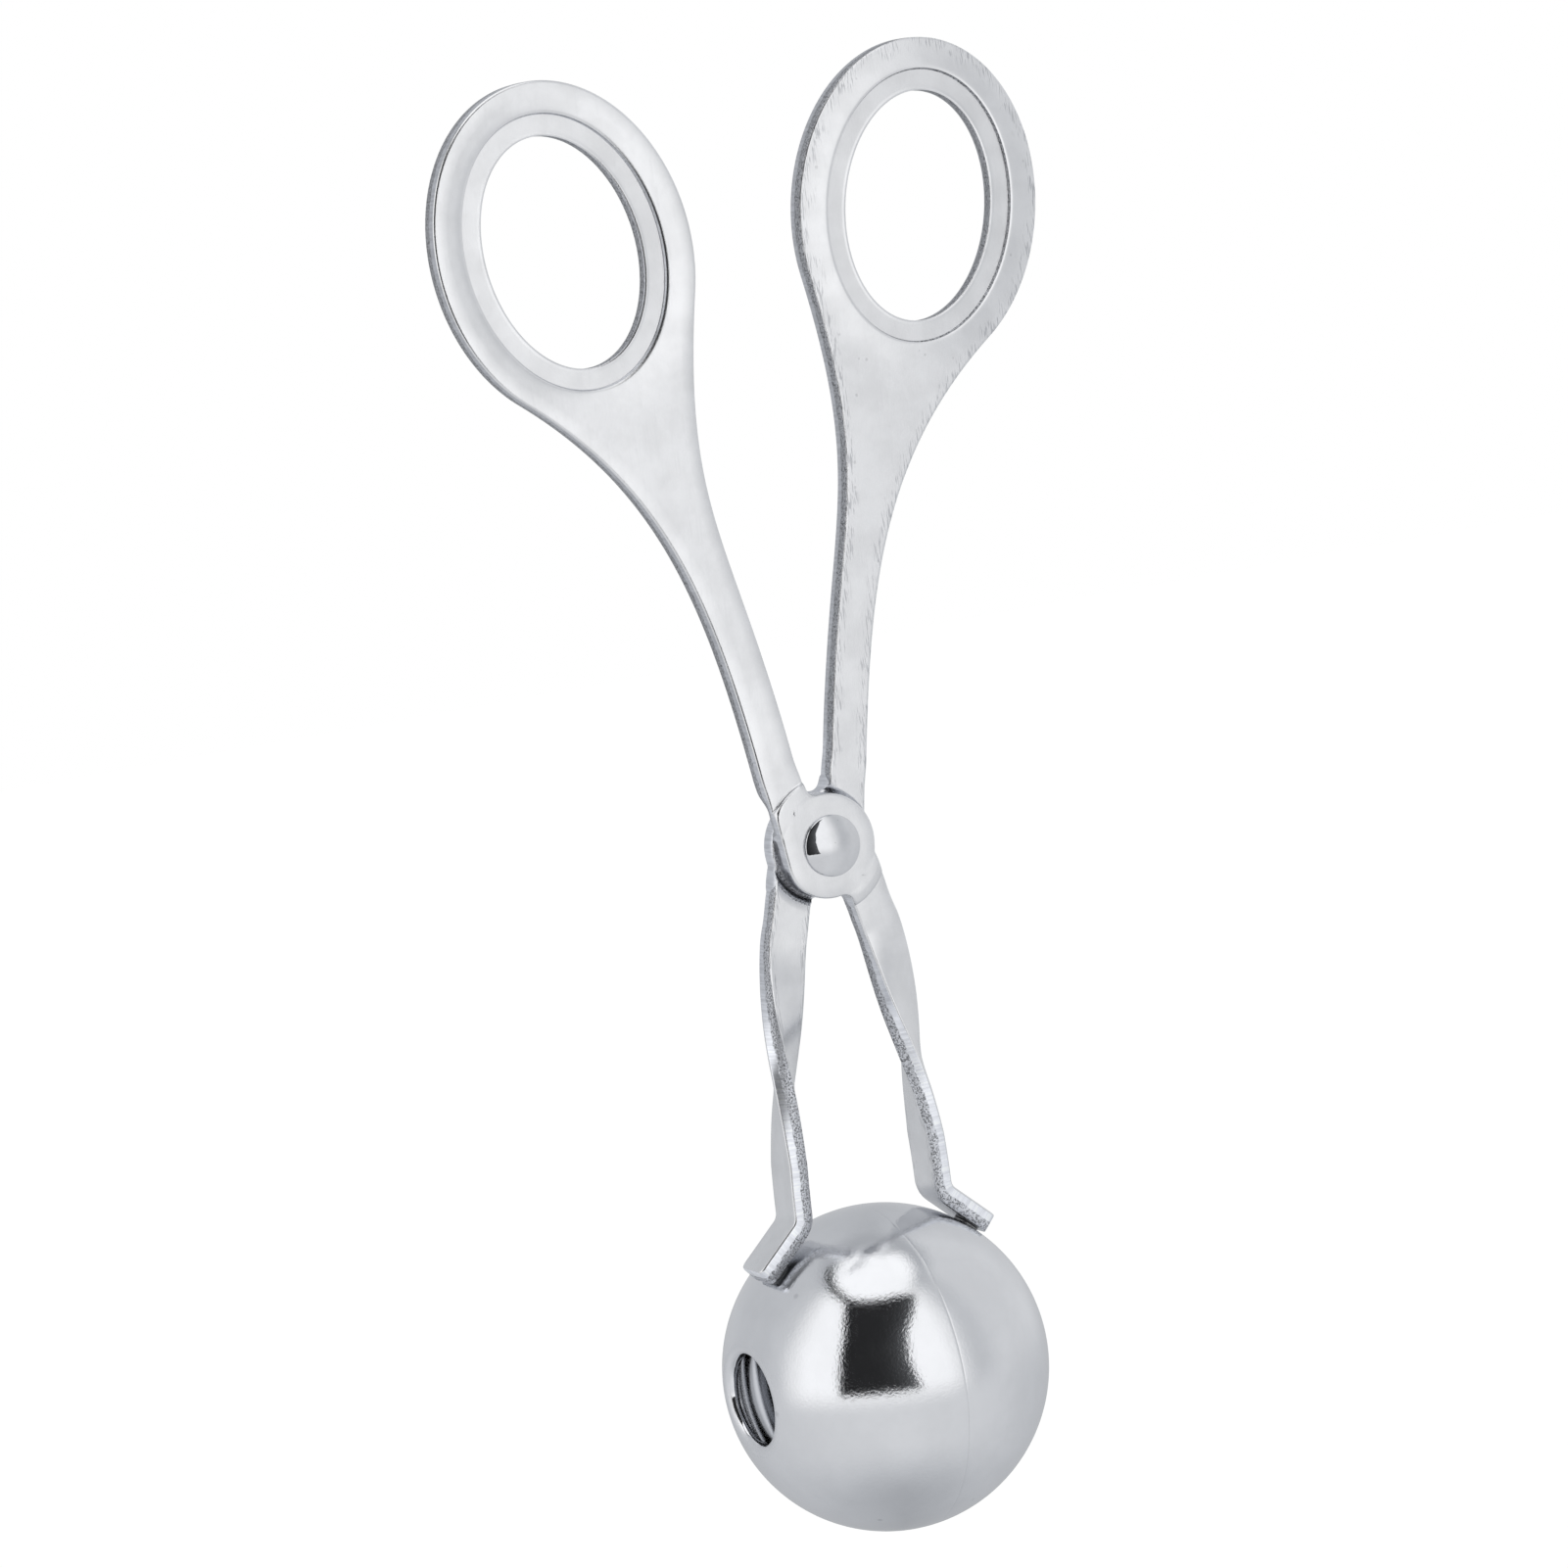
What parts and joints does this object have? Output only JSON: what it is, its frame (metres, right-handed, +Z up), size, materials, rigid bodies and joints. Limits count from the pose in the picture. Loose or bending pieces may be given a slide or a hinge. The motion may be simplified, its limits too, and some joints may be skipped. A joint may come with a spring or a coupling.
{
  "type": "meatball tongs",
  "caption": "Stainless scissor tongs with finger rings, crossed arms on a domed rivet, twisted legs and a split ball mould with vent holes, for shaping meatballs.",
  "frame": {"origin": "lowest point of the closed ball, under its centre", "axes": "+Z up along the tongs from the ball to the finger rings, +X to the right handle, -Y the front with the rivet's domed head"},
  "size_m": [0.0798, 0.04, 0.1777],
  "materials": {
    "arm_steel": "satin tumbled stainless sheet",
    "cup_steel": "polished stainless, slightly grainy",
    "rivet_steel": "polished rivet head",
    "weld_steel": "spot weld"
  },
  "bodies": {
    "rear_half": {"rear_arm": "arm_steel", "left_cup": "cup_steel", "left_weld": "weld_steel", "pivot_rivet": "rivet_steel"},
    "front_half": {"front_arm": "arm_steel", "right_cup": "cup_steel", "right_weld": "weld_steel"}
  },
  "joints": [
    {"name": "scissor_pivot", "type": "hinge", "parent": "rear_half", "child": "front_half", "pos_m": [0, 0, 0.0841], "axis": [0, -1, 0], "range_deg": [0, 69]}
  ]
}
